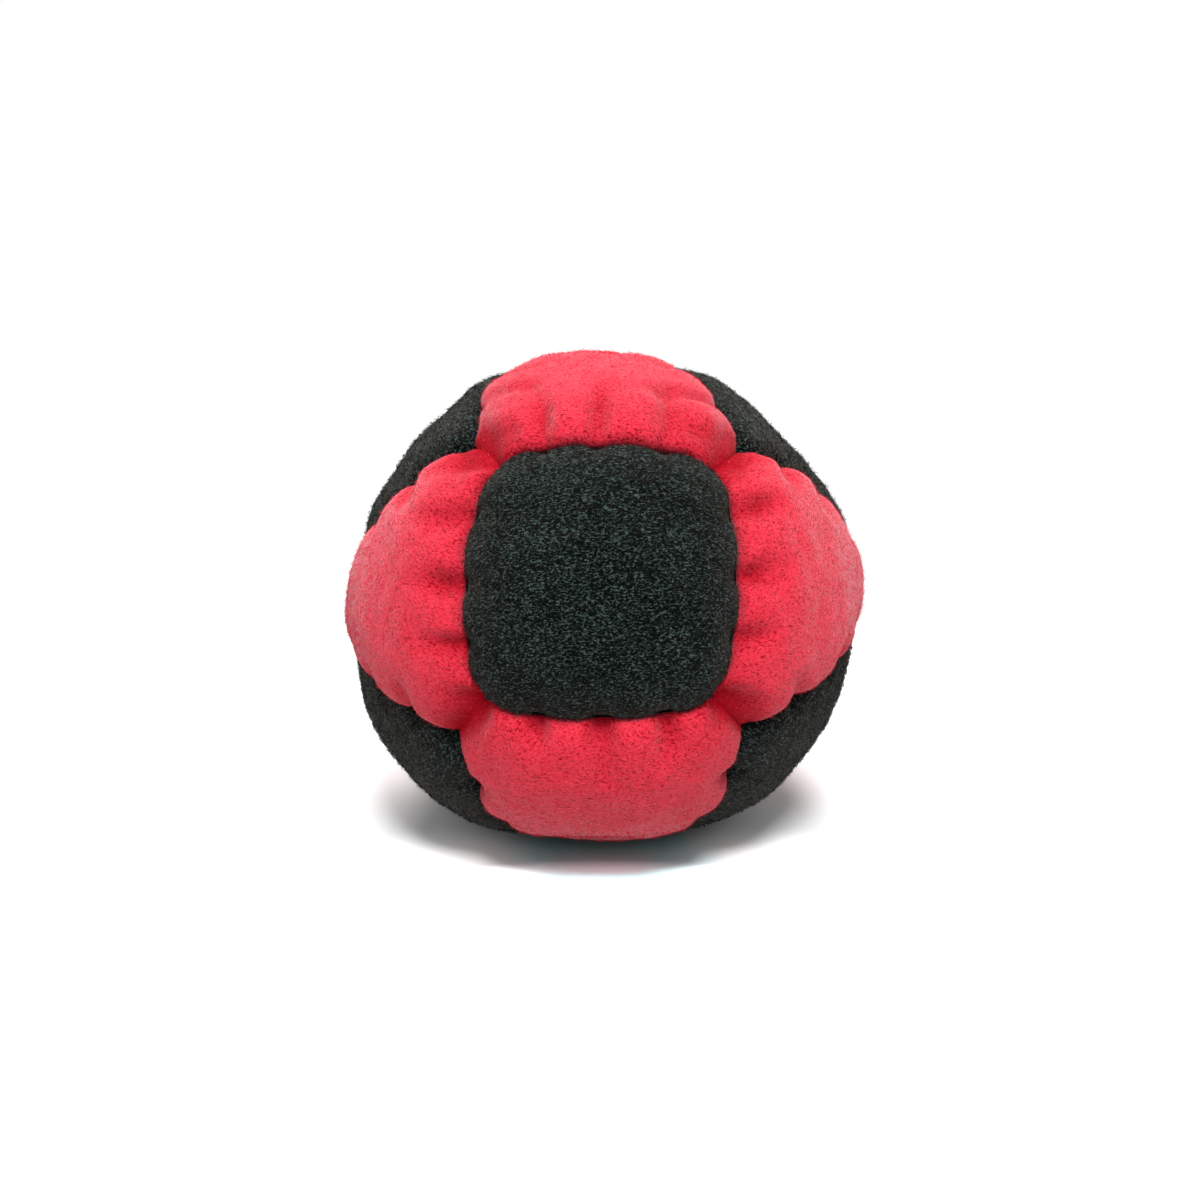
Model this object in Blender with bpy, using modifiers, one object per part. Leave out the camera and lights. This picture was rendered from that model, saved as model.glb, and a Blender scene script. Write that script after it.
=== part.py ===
"""A sewn footbag at rest: fourteen suede panels, their seam threads and the sand inside.

Six dark square panels and eight red panels are sewn edge to edge. A red panel is a triangle whose
three corners are clipped, so its long edges meet dark squares and its short edges meet other reds.
Every panel is its own shell of cloth: it swells between its seams, is gathered along them, and its
edge turns in under the seam as an opened allowance. A thread lies along the root of every seam, and
one body of sand fills the bag with a groove for each seam.

The bag rests on z = 0 with its middle over the origin. The front dark square looks along -Y and a
little upwards. Lengths are in metres.
"""

import math

import bmesh
import bpy
from mathutils import Matrix, Vector

MM = 0.001

# Sizes of the sewn cover
SEAM_RADIUS = 23.4 * MM  # from the bag's middle to its seam lines
DARK_CROWN = 1.8 * MM  # how far the middle of a dark panel stands above the seam lines
RED_CROWN = 2.4 * MM  # the same for a red panel
CORNER_SEAM = 3.6 * MM  # length of the short seam between two red panels
CLOTH_THICKNESS = 0.8 * MM
SEAM_ALLOWANCE = 2.6 * MM  # cloth turned in under the seam
SEAM_GAP = 0.3 * MM  # clearance between two panels at their seam
ALLOWANCE_LEAN = math.radians(32)  # how far an allowance leans away from the seam's plane

# How the cloth swells beside a seam
DARK_EDGE_ROUND = 2.2 * MM  # distance over which a dark panel rises from its seam
RED_EDGE_ROUND = 1.4 * MM
CORNER_EDGE_ROUND = 1.6 * MM  # the same beside a short seam
CROWN_POWER_SHARE = 0.5  # a square root gives the edge its upright start

# Gathers, where a stitch draws the cloth down to the seam
STITCHES = 4  # stitches along a long seam
DARK_GATHER_SHARE = 0.16  # share of the swell that a gather takes away at the seam
RED_GATHER_SHARE = 0.4
GATHER_REACH = 3.6 * MM  # how far from the seam a gather dies away

# How the bag slumps as it rests
HEAD_SETTLE = 0.4 * MM  # how far its upper half sinks in
SIDE_SWELL = 0.8 * MM  # how far its lower half swells out
FOOT_SETTLE = 2.6 * MM  # how far its underside is pushed up as it rounds over onto the ground
BASE_PRESS = 0.9 * MM  # how far what is lowest then is pressed flat
HEAD_HEIGHT_SHARE = 0.7  # height, as a share of the crest, from which the head has sunk in fully
BELLY_HEIGHT_SHARE = -0.6  # height of the widest swell
BELLY_SPREAD_SHARE = 0.6
FOOT_HEIGHT_SHARE = -0.6  # height below which the foot is pushed up

# Where the sand pulls the cover out of true. One name stands for the middle of a square, two for
# the short seam between two squares, and three for the middle of the first square's long seam
# that runs between the other two. The shares of the seam radius are how far the cloth is shifted
# to the right and upwards, seen from the front, and how far it stands out.
PULL_SPREAD = math.radians(16)
SWELL_SPREAD = math.radians(24)
PULL_SHARES = {
    ("front",): (0.05, 0.0, -0.02),
    ("front", "upper_left"): (0.07, 0.02, 0.01),
    ("front", "upper_right"): (0.01, -0.02, 0.015),
    ("front", "lower_right"): (-0.05, 0.0, 0.01),
    ("front", "lower_left"): (0.01, 0.01, 0.015),
    ("upper_left", "upper_right"): (-0.09, -0.01, 0.0),
    ("upper_right", "lower_right"): (0.04, 0.06, 0.01),
    ("lower_right", "lower_left"): (0.0, 0.03, -0.03),
    ("upper_left", "front", "upper_right"): (-0.12, 0.02, 0.01),
    ("upper_right", "front", "upper_left"): (0.07, 0.0, -0.01),
    ("upper_right", "front", "lower_right"): (0.01, 0.08, 0.0),
    ("lower_right", "front", "upper_right"): (0.02, 0.01, -0.01),
    ("lower_right", "front", "lower_left"): (0.05, 0.01, 0.01),
    ("lower_left", "front", "lower_right"): (-0.09, 0.0, 0.025),
    ("lower_left", "front", "upper_left"): (0.04, 0.02, 0.015),
    ("upper_left", "front", "lower_left"): (0.05, -0.02, 0.0),
    ("upper_left",): (0.0, -0.05, 0.0),
    ("upper_right",): (0.0, -0.03, -0.035),
    ("lower_right",): (0.03, 0.02, -0.035),
    ("lower_left",): (0.0, 0.0, 0.01),
    ("back",): (-0.03, 0.02, 0.01),
    ("back", "upper_right"): (0.02, -0.03, -0.015),
    ("back", "lower_left"): (-0.03, 0.01, 0.01),
}

# Thread and sand
THREAD_DIAMETER = 0.5 * MM
THREAD_CLEARANCE = 0.3 * MM  # between a thread and the cloth or another thread
SAND_CLEARANCE = 0.5 * MM  # between the sand and the cloth

# How the pattern of panels is turned: the front square looks along -Y before this
FRONT_TILT = math.radians(21)  # upwards
FRONT_TURN = math.radians(-1.7)  # towards -X
FRONT_ROLL = math.radians(-1.8)  # anticlockwise, seen from the front

# Fineness of the meshes
PANEL_LONG_CUTS = 2 * STITCHES  # points along a long seam: one on each stitch and one between
PANEL_SHORT_CUTS = PANEL_LONG_CUTS // STITCHES  # a short seam is about one stitch long
PANEL_RING_SHARES = (0.1, 0.28, 0.58)  # rings between the seam and the panel's middle
SAND_LONG_CUTS = STITCHES
SAND_SHORT_CUTS = SAND_LONG_CUTS // STITCHES
SAND_RING_SHARES = (0.3, 0.62)
WELD = 0.001 * MM

CREST_RADIUS = SEAM_RADIUS + RED_CROWN
MIDDLE_HEIGHT = CREST_RADIUS - FOOT_SETTLE - BASE_PRESS

HALF_ROOT = math.sqrt(0.5)
AXES = {
    "front": Vector((0, -1, 0)),
    "back": Vector((0, 1, 0)),
    "upper_left": Vector((-HALF_ROOT, 0, HALF_ROOT)),
    "upper_right": Vector((HALF_ROOT, 0, HALF_ROOT)),
    "lower_right": Vector((HALF_ROOT, 0, -HALF_ROOT)),
    "lower_left": Vector((-HALF_ROOT, 0, -HALF_ROOT)),
}
SIDES = {
    "top": ("upper_left", "upper_right"),
    "right": ("upper_right", "lower_right"),
    "bottom": ("lower_right", "lower_left"),
    "left": ("lower_left", "upper_left"),
}
TURN = (
    Matrix.Rotation(FRONT_TURN, 3, "Z")
    @ Matrix.Rotation(-FRONT_TILT, 3, "X")
    @ Matrix.Rotation(FRONT_ROLL, 3, "Y")
)


def clear_scene():
    for obj in list(bpy.data.objects):
        bpy.data.objects.remove(obj)


def suede(name, colour, roughness):
    """A matt cloth in one colour, with the soft sheen of a short nap."""
    material = bpy.data.materials.new(name)
    material.use_nodes = True
    shader = material.node_tree.nodes["Principled BSDF"]
    shader.inputs["Base Color"].default_value = (*colour, 1.0)
    shader.inputs["Roughness"].default_value = roughness
    shader.inputs["Metallic"].default_value = 0.0
    material.diffuse_color = (*colour, 1.0)
    return material


def corner_between(near, far):
    """The corner that the square on axis near has towards the square on axis far."""
    half_seam = CORNER_SEAM / 2 / SEAM_RADIUS
    angle = math.pi / 4 - half_seam
    return near * math.cos(angle) + far * math.sin(angle)


class Edge:
    """One edge of a panel, from corner start to corner end, anticlockwise seen from outside."""

    def __init__(self, start, end, is_long, rounding, gather_share):
        self.start = start
        self.inward = start.cross(end).normalized()
        self.along = self.inward.cross(start).normalized()
        self.length = start.angle(end)
        self.is_long = is_long
        self.rounding = rounding
        self.gather_share = gather_share

    def point(self, share):
        """The direction of the point that lies this share of the way along the seam."""
        angle = self.length * share
        return self.start * math.cos(angle) + self.along * math.sin(angle)

    def distance(self, direction):
        """How far inside the edge a direction lies, measured on the sphere of the seam lines."""
        return math.asin(max(-1.0, min(1.0, self.inward.dot(direction)))) * SEAM_RADIUS

    def rise(self, distance):
        """From 0 at the seam to 1 well inside the panel."""
        return 1 - math.exp(-max(distance, 0.0) / self.rounding)

    def gather(self, direction, distance):
        """The share of the swell that is left beside this edge's stitches."""
        if not self.is_long:
            return 1.0
        angle = math.atan2(direction.dot(self.along), direction.dot(self.start))
        share = max(0.0, min(1.0, angle / self.length))
        fold = (1 + math.cos(2 * math.pi * STITCHES * share)) / 2
        return 1 - self.gather_share * fold * math.exp(-max(distance, 0.0) / GATHER_REACH)


class Panel:
    """A panel of the cover: its edges, its middle and how far it swells."""

    def __init__(self, name, corners, long_first, crown, rounding, gather_share):
        self.name = name
        self.crown = crown
        self.middle = sum(corners, Vector()).normalized()
        self.edges = []
        for index, start in enumerate(corners):
            is_long = long_first or index % 2 == 1
            end = corners[(index + 1) % len(corners)]
            edge_round = rounding if is_long else CORNER_EDGE_ROUND
            self.edges.append(Edge(start, end, is_long, edge_round, gather_share))
        self.full_rise = self.rise(self.middle, 0.0)

    def rise(self, direction, inset):
        """The swell's shape before it is scaled: the product of every edge's rise."""
        product = 1.0
        gathers = 1.0
        for edge in self.edges:
            distance = edge.distance(direction) - inset
            product *= edge.rise(distance)
            gathers *= edge.gather(direction, distance)
        return product**CROWN_POWER_SHARE * gathers

    def radius(self, direction, inset=0.0):
        """The radius of the cloth's outer face, or of a face that stays inset within it."""
        swell = self.crown * self.rise(direction, inset) / self.full_rise
        return SEAM_RADIUS + swell - inset

    def outline(self, long_cuts, short_cuts):
        """The directions of the points round the seam, each with the vector that leads inwards."""
        points = []
        for index, edge in enumerate(self.edges):
            before = self.edges[index - 1]
            mitre = (before.inward + edge.inward) / (1 + before.inward.dot(edge.inward))
            cuts = long_cuts if edge.is_long else short_cuts
            points.append((edge.start, mitre))
            for cut in range(1, cuts):
                points.append((edge.point(cut / cuts), edge.inward))
        return points


def dark_panels():
    """Six squares, one on each axis."""
    panels = {}
    for name, axis in AXES.items():
        ring = [other for other in AXES.values() if abs(other.dot(axis)) < HALF_ROOT]
        side = ring[0]
        up = axis.cross(side)
        ring.sort(key=lambda other: math.atan2(other.dot(up), other.dot(side)))
        corners = [corner_between(axis, other) for other in ring]
        panels[name] = Panel(
            f"dark_panel_{name}", corners, True, DARK_CROWN, DARK_EDGE_ROUND, DARK_GATHER_SHARE
        )
    return panels


def red_panels():
    """Eight clipped triangles, one between every three neighbouring axes."""
    panels = {}
    for face in ("front", "back"):
        for side, (first, second) in SIDES.items():
            a, b, c = AXES[face], AXES[first], AXES[second]
            if a.dot(b.cross(c)) < 0:
                b, c = c, b
            corners = []
            for near, far in ((a, b), (b, c), (c, a)):
                corners += [corner_between(near, far), corner_between(far, near)]
            name = f"{face}_{side}"
            panels[name] = Panel(
                f"red_panel_{name}", corners, False, RED_CROWN, RED_EDGE_ROUND, RED_GATHER_SHARE
            )
    return panels


def smooth_step(share):
    share = max(0.0, min(1.0, share))
    return share * share * (3 - 2 * share)


def pull_site(names):
    """The direction of the place that one, two or three names stand for."""
    near = AXES[names[0]]
    if len(names) < 3:
        return sum((AXES[name] for name in names[1:]), near).normalized()
    return (corner_between(near, AXES[names[1]]) + corner_between(near, AXES[names[2]])).normalized()


PULLS = [(pull_site(names), shares) for names, shares in PULL_SHARES.items()]


def pulled(point):
    """Where the sand pulls a point of the round bag to."""
    direction = point.normalized()
    right = up = out = 0.0
    for site, (right_share, up_share, out_share) in PULLS:
        angle = math.acos(max(-1.0, min(1.0, direction.dot(site))))
        near = math.exp(-((angle / PULL_SPREAD) ** 2))
        right += right_share * near
        up += up_share * near
        out += out_share * math.exp(-((angle / SWELL_SPREAD) ** 2))
    shift = Vector((right, 0, up))
    shift -= direction * direction.dot(shift)
    return (direction + shift).normalized() * (point.length + out * SEAM_RADIUS)


def settled(point, floor=None):
    """Where a point of the round bag lies once the bag has slumped onto the ground."""
    placed = TURN @ pulled(point)
    height_share = placed.z / CREST_RADIUS
    sink = HEAD_SETTLE / CREST_RADIUS * smooth_step(height_share / HEAD_HEIGHT_SHARE)
    belly = math.exp(-(((height_share - BELLY_HEIGHT_SHARE) / BELLY_SPREAD_SHARE) ** 2))
    swell = 1 + SIDE_SWELL / CREST_RADIUS * belly
    foot = max(0.0, FOOT_HEIGHT_SHARE - height_share) / (1 + FOOT_HEIGHT_SHARE)
    placed = placed * (1 - sink)
    placed.x *= swell
    placed.y *= swell
    placed.z += FOOT_SETTLE * foot**2 + MIDDLE_HEIGHT
    if floor is not None:
        placed.z = max(placed.z, floor)
    return placed


def rolled_grid(around, rings, place):
    """A grid rolled up into a disc: place(i, j) gives point i of the ring j, and the last ring
    is the single point in the middle."""
    mesh = bmesh.new()
    bmesh.ops.create_grid(mesh, x_segments=around, y_segments=rings, size=1)
    for vert in mesh.verts:
        i = round((vert.co.x + 1) / 2 * around) % around
        j = round((vert.co.y + 1) / 2 * rings)
        vert.co = place(i, j)
    bmesh.ops.remove_doubles(mesh, verts=mesh.verts, dist=WELD)
    return mesh


def finished(mesh, name, material, collection):
    """The object of a finished bmesh, shaded smooth, in its collection."""
    data = bpy.data.meshes.new(name)
    mesh.to_mesh(data)
    mesh.free()
    data.shade_smooth()
    data.materials.append(material)
    obj = bpy.data.objects.new(name, data)
    collection.objects.link(obj)
    return obj


def face_outwards(mesh):
    """Turns an open shell's faces so that they look away from the bag's middle."""
    bmesh.ops.recalc_face_normals(mesh, faces=mesh.faces)
    middle = Vector((0, 0, MIDDLE_HEIGHT))
    outward = sum(face.normal.dot(face.calc_center_median() - middle) for face in mesh.faces)
    if outward < 0:
        bmesh.ops.reverse_faces(mesh, faces=mesh.faces)


def build_panel(panel, material, collection):
    """The shell of one panel: allowance, seam line, then the swelling cloth to its middle."""
    outline = panel.outline(PANEL_LONG_CUTS, PANEL_SHORT_CUTS)
    half_gap = SEAM_GAP / 2 / SEAM_RADIUS
    tip_drop = SEAM_ALLOWANCE * math.cos(ALLOWANCE_LEAN)
    tip_shift = SEAM_ALLOWANCE * math.sin(ALLOWANCE_LEAN)
    ring_shares = (0.0, *PANEL_RING_SHARES)
    rings = len(ring_shares) + 1

    def place(i, j):
        seam, inward = outline[i]
        edge_point = (seam + inward * half_gap).normalized()
        if j == 0:
            tip = edge_point * (SEAM_RADIUS - tip_drop) + inward * tip_shift
            return settled(tip)
        if j == rings:
            return settled(panel.middle * panel.radius(panel.middle), 0.0)
        direction = edge_point.lerp(panel.middle, ring_shares[j - 1]).normalized()
        return settled(direction * panel.radius(direction), 0.0)

    mesh = rolled_grid(len(outline), rings, place)
    face_outwards(mesh)
    obj = finished(mesh, panel.name, material, collection)
    cloth = obj.modifiers.new("Cloth thickness", "SOLIDIFY")
    cloth.thickness = CLOTH_THICKNESS
    cloth.offset = -1
    cloth.use_even_offset = True


def build_sand(panels, material, collection):
    """The sand: it fills every panel's swell and has a groove along every seam, where the
    allowances and the thread lie."""
    groove_drop = SEAM_ALLOWANCE * math.cos(ALLOWANCE_LEAN) + CLOTH_THICKNESS + SAND_CLEARANCE
    groove_side = (
        SEAM_GAP / 2 + SEAM_ALLOWANCE * math.sin(ALLOWANCE_LEAN) + CLOTH_THICKNESS + SAND_CLEARANCE
    )
    groove_radius = SEAM_RADIUS - groove_drop
    inset = CLOTH_THICKNESS + SAND_CLEARANCE
    whole = bmesh.new()
    for panel in panels:
        outline = panel.outline(SAND_LONG_CUTS, SAND_SHORT_CUTS)
        rings = len(SAND_RING_SHARES) + 3

        def place(i, j, panel=panel, outline=outline, rings=rings):
            seam, inward = outline[i]
            wall = (seam + inward * groove_side / SEAM_RADIUS).normalized()
            if j == 0:
                return settled(seam * groove_radius)
            if j == 1:
                return settled(wall * groove_radius)
            if j == rings:
                return settled(panel.middle * panel.radius(panel.middle, inset), inset)
            share = (0.0, *SAND_RING_SHARES)[j - 2]
            direction = wall.lerp(panel.middle, share).normalized()
            return settled(direction * panel.radius(direction, inset), inset)

        piece = rolled_grid(len(outline), rings, place)
        data = bpy.data.meshes.new("sand_piece")
        piece.to_mesh(data)
        piece.free()
        whole.from_mesh(data)
        bpy.data.meshes.remove(data)
    bmesh.ops.remove_doubles(whole, verts=whole.verts, dist=WELD)
    bmesh.ops.recalc_face_normals(whole, faces=whole.faces)
    finished(whole, "sand_fill", material, collection)


def thread_radius():
    """The radius at which a thread lies in the root of the opened seam."""
    reach = THREAD_DIAMETER / 2 + THREAD_CLEARANCE
    return SEAM_RADIUS - (reach - SEAM_GAP / 2) / math.sin(ALLOWANCE_LEAN)


def build_thread(name, directions, closed, material, collection):
    """A thread along the root of the seam through these directions."""
    curve = bpy.data.curves.new(name, "CURVE")
    curve.dimensions = "3D"
    curve.bevel_depth = THREAD_DIAMETER / 2
    curve.bevel_resolution = 1
    curve.use_fill_caps = True
    spline = curve.splines.new("POLY")
    spline.points.add(len(directions) - 1)
    for point, direction in zip(spline.points, directions):
        point.co = (*settled(direction * thread_radius()), 1.0)
    spline.use_cyclic_u = closed
    curve.materials.append(material)
    collection.objects.link(bpy.data.objects.new(name, curve))


def build_square_threads(squares, material, collection):
    """One thread round each dark panel, through its four long seams."""
    for name, panel in squares.items():
        points = [seam for seam, inward in panel.outline(PANEL_LONG_CUTS, PANEL_SHORT_CUTS)]
        build_thread(f"seam_thread_{name}", points, True, material, collection)


def build_corner_threads(material, collection):
    """A short thread along each seam between two red panels, kept clear of the long threads."""
    pairs = {}
    for face in ("front", "back"):
        for corner in ("upper_left", "upper_right", "lower_right", "lower_left"):
            pairs[f"{face}_{corner}"] = (AXES[face], AXES[corner])
    for side, (first, second) in SIDES.items():
        pairs[side] = (AXES[first], AXES[second])
    end_clearance = (THREAD_DIAMETER + THREAD_CLEARANCE) / SEAM_RADIUS
    for name, (first, second) in pairs.items():
        start = corner_between(first, second)
        end = corner_between(second, first)
        length = start.angle(end)
        keep = end_clearance / length
        shares = (keep, 0.5, 1 - keep)
        points = [start.slerp(end, share).normalized() for share in shares]
        build_thread(f"corner_thread_{name}", points, False, material, collection)


def main():
    clear_scene()
    collection = bpy.data.collections.new("Footbag")
    bpy.context.scene.collection.children.link(collection)
    dark = suede("Dark suede", (0.024, 0.030, 0.029), 0.95)
    red = suede("Red suede", (0.76, 0.055, 0.085), 0.92)
    thread = suede("Waxed thread", (0.02, 0.02, 0.02), 0.5)
    sand = suede("Dry sand", (0.55, 0.43, 0.28), 0.9)
    squares = dark_panels()
    reds = red_panels()
    for panel in squares.values():
        build_panel(panel, dark, collection)
    for panel in reds.values():
        build_panel(panel, red, collection)
    build_square_threads(squares, thread, collection)
    build_corner_threads(thread, collection)
    build_sand([*squares.values(), *reds.values()], sand, collection)


main()
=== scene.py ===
# %% [markdown]
# A sewn footbag
#
# The real object is a small kicking bag: fourteen pieces of brushed suede cloth, sewn edge to edge
# round a fill of loose sand. Six dark squares sit like the faces of a cube and eight red panels fill
# the corners between them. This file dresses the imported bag: it loads the plain solids, makes each
# panel again as swollen, gathered cloth with a nap, and sets up the studio.

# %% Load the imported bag
import math
from collections import namedtuple

import bmesh
import bpy
import numpy as np
from mathutils import Matrix, Vector
from mathutils.geometry import delaunay_2d_cdt


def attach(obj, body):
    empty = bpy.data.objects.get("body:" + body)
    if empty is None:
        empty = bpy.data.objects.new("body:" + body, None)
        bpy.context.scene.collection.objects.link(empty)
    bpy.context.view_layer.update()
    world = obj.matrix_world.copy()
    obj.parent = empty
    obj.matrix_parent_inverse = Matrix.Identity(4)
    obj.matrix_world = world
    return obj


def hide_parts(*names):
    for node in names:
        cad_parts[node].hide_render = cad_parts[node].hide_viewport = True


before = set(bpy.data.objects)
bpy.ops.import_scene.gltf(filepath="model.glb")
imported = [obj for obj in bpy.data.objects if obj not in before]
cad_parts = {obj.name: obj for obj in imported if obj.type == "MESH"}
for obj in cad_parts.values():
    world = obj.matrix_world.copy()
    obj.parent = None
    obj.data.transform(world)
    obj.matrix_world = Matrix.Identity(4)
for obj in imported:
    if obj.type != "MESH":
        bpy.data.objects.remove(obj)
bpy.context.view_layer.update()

# %% [markdown]
# The camera comes first, because everything that follows is judged through it. The photograph was
# taken from close by and a little above the bag, so the camera stands 165 mm from the bag's middle,
# fifteen degrees up. It is shifted by a little over half a millimetre with its target, because the bag
# isn't quite in the middle of the picture. A camera at the right distance matters on a round object:
# from further away, more of the side panels would show.

# %% Camera
MM = 0.001
MIDDLE_HEIGHT = 22.3 * MM  # the bag's middle above the ground
CAMERA_DISTANCE = 165 * MM
CAMERA_ELEVATION = math.radians(15)
CAMERA_LENS = 48.8
SENSOR_WIDTH = 36
FRAMING_SHIFT = Vector((-0.6 * MM, 0, 0.2 * MM))
VIEW = np.array((0.0, -math.cos(CAMERA_ELEVATION), math.sin(CAMERA_ELEVATION)))


def add_object(name, data):
    """A new object in the scene."""
    obj = bpy.data.objects.new(name, data)
    bpy.context.scene.collection.objects.link(obj)
    return obj


def add_camera():
    """A camera that looks at the bag's middle along +Y and downwards."""
    data = bpy.data.cameras.new("photo_camera")
    data.lens = CAMERA_LENS
    data.sensor_width = SENSOR_WIDTH
    data.clip_start = 1 * MM
    camera = add_object("photo_camera", data)
    target = Vector((0, 0, MIDDLE_HEIGHT)) + FRAMING_SHIFT
    camera.location = target + Vector(VIEW) * CAMERA_DISTANCE
    camera.rotation_euler = (-Vector(VIEW)).to_track_quat("-Z", "Y").to_euler()
    bpy.context.scene.camera = camera
    return camera


camera = add_camera()
print("camera at", [round(x / MM, 1) for x in camera.location], "mm")

# %% [markdown]
# The pattern of the bag is a cube whose corners are cut off. A dark square's long seams are arcs of
# great circles on a ball, so a panel can be described by directions from the bag's middle: its
# corners, and for each edge the direction that points inwards. With the distance of a point from each
# edge, every later shape, such as the swell and the gathers, is one short formula. The whole panel is
# worked out at once with arrays, because it has tens of thousands of points.

# %% Sizes of the cover, as sewn
SEAM_RADIUS = 23.4 * MM
CROWN = {"dark": 1.8 * MM, "red": 2.4 * MM}
EDGE_ROUND = {"dark": 2.2 * MM, "red": 0.95 * MM}
CORNER_ROUND = 2.2 * MM
CORNER_SEAM = 3.6 * MM
CLOTH_THICKNESS = 0.8 * MM
STITCHES = 4
STITCH_WANDER = 0.45 * MM
STITCH_WANDER_LENGTH = 14 * MM
WAVES = 14
WAVE_SPREAD = (0.75, 1.35)
WANDER_SEEDS = (21, 22, 23)
CREST_RADIUS = SEAM_RADIUS + CROWN["red"]
HALF_ROOT = math.sqrt(0.5)
TURN = np.array(
    Matrix.Rotation(math.radians(-1.7), 3, "Z")
    @ Matrix.Rotation(math.radians(-21), 3, "X")
    @ Matrix.Rotation(math.radians(-1.8), 3, "Y")
)
AXES = {
    "front": (0, -1, 0), "back": (0, 1, 0),
    "upper_left": (-HALF_ROOT, 0, HALF_ROOT), "upper_right": (HALF_ROOT, 0, HALF_ROOT),
    "lower_right": (HALF_ROOT, 0, -HALF_ROOT), "lower_left": (-HALF_ROOT, 0, -HALF_ROOT),
}
AXES = {name: np.array(axis, float) for name, axis in AXES.items()}
SIDES = {
    "top": ("upper_left", "upper_right"),
    "right": ("upper_right", "lower_right"),
    "bottom": ("lower_right", "lower_left"),
    "left": ("lower_left", "upper_left"),
}


def unit(vectors):
    """The vectors made one long."""
    return vectors / np.linalg.norm(vectors, axis=-1, keepdims=True)


def angle_to(directions, places):
    """The angle between each direction and each place."""
    return np.arccos(np.clip(directions @ places.T, -1, 1))


def bell(values, spread):
    """1 at nought, falling off smoothly over the spread."""
    return np.exp(-((values / spread) ** 2))


def slow_waves(points, wavelength, seed):
    """A smooth random field over points: a sum of waves in fixed random directions."""
    draw = np.random.default_rng(seed)
    total = np.zeros(len(points))
    for direction in unit(draw.normal(size=(WAVES, 3))):
        length = wavelength * draw.uniform(*WAVE_SPREAD)
        total += np.sin(points @ direction * (2 * np.pi / length) + draw.uniform(0, 2 * np.pi))
    return total / math.sqrt(WAVES / 2)


def wandered(directions):
    """The directions moved a little to and fro, so that no two stitches are quite alike."""
    places = directions * SEAM_RADIUS
    shifts = [slow_waves(places, STITCH_WANDER_LENGTH, seed) for seed in WANDER_SEEDS]
    return unit(directions + np.stack(shifts, axis=1) * STITCH_WANDER / SEAM_RADIUS)


def corner_between(near, far):
    """The corner that the square on axis near has towards the square on axis far."""
    angle = math.pi / 4 - CORNER_SEAM / 2 / SEAM_RADIUS
    return near * math.cos(angle) + far * math.sin(angle)


class Panel:
    """One panel of the pattern, with its corners anticlockwise seen from outside."""

    def __init__(self, name, kind, corners):
        self.name = name
        self.kind = kind
        self.corners = np.array(corners)
        ends = np.roll(self.corners, -1, axis=0)
        self.inward = unit(np.cross(self.corners, ends))
        self.along = unit(np.cross(self.inward, self.corners))
        self.length = np.arccos(np.sum(self.corners * ends, axis=1))
        self.is_long = self.length > self.length.max() / 2
        self.middle = unit(self.corners.sum(axis=0))
        self.side = unit(self.corners[0] - self.middle * (self.corners[0] @ self.middle))
        self.up = np.cross(self.middle, self.side)

    def distances(self, directions):
        """How far inside each edge the directions lie."""
        return np.arcsin(np.clip(directions @ self.inward.T, -1, 1)) * SEAM_RADIUS

    def fold(self, directions, sharpness):
        """For each long edge, 1 beside a stitch and 0 midway between two."""
        moved = wandered(directions)
        angle = np.arctan2(moved @ self.along.T, moved @ self.corners.T)
        share = np.clip(angle / self.length, 0, 1)
        wave = 0.5 + 0.5 * np.cos(2 * np.pi * STITCHES * share)
        return np.where(self.is_long, wave**sharpness, 0.0)


def cut_panels():
    """The six dark squares and the eight red clipped triangles."""
    panels = []
    for name, axis in AXES.items():
        ring = [other for other in AXES.values() if abs(other @ axis) < HALF_ROOT]
        side = ring[0]
        up = np.cross(axis, side)
        ring.sort(key=lambda other: math.atan2(other @ up, other @ side))
        corners = [corner_between(axis, other) for other in ring]
        panels.append(Panel(f"dark_panel_{name}", "dark", corners))
    for face in ("front", "back"):
        for side, (first, second) in SIDES.items():
            a, b, c = AXES[face], AXES[first], AXES[second]
            if a @ np.cross(b, c) < 0:
                b, c = c, b
            corners = []
            for near, far in ((a, b), (b, c), (c, a)):
                corners += [corner_between(near, far), corner_between(far, near)]
            panels.append(Panel(f"red_panel_{face}_{side}", "red", corners))
    return panels


panels = cut_panels()
print(len(panels), "panels;", "long seam", round(panels[0].length[0] * SEAM_RADIUS / MM, 1), "mm")

# %% [markdown]
# Cloth that is sewn down round its edge and filled with sand swells like a small cushion. It rises
# steeply from the seam and is nearly flat in the middle. Each stitch draws it down into a short
# gather, deep in the stretchy red cloth and faint in the dark. Between two stitches the dark cloth
# also pushes a little over the red, which gives the square its scalloped outline. The gathers of a
# hand-made bag aren't alike, so a few slow waves vary their depth from place to place. They run
# further at the top, where the sand has sunk away and left the cloth slack, and there they are soft
# dimples that lie a little off the seam. At the outline and at the bag's left and right they are
# shallower than above and below the front square. The sand also fills some places better than others.
# The outline in the photograph shows where, so each plump or lean place is named by its angle on that
# outline and by how far it is turned towards the camera.

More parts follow.
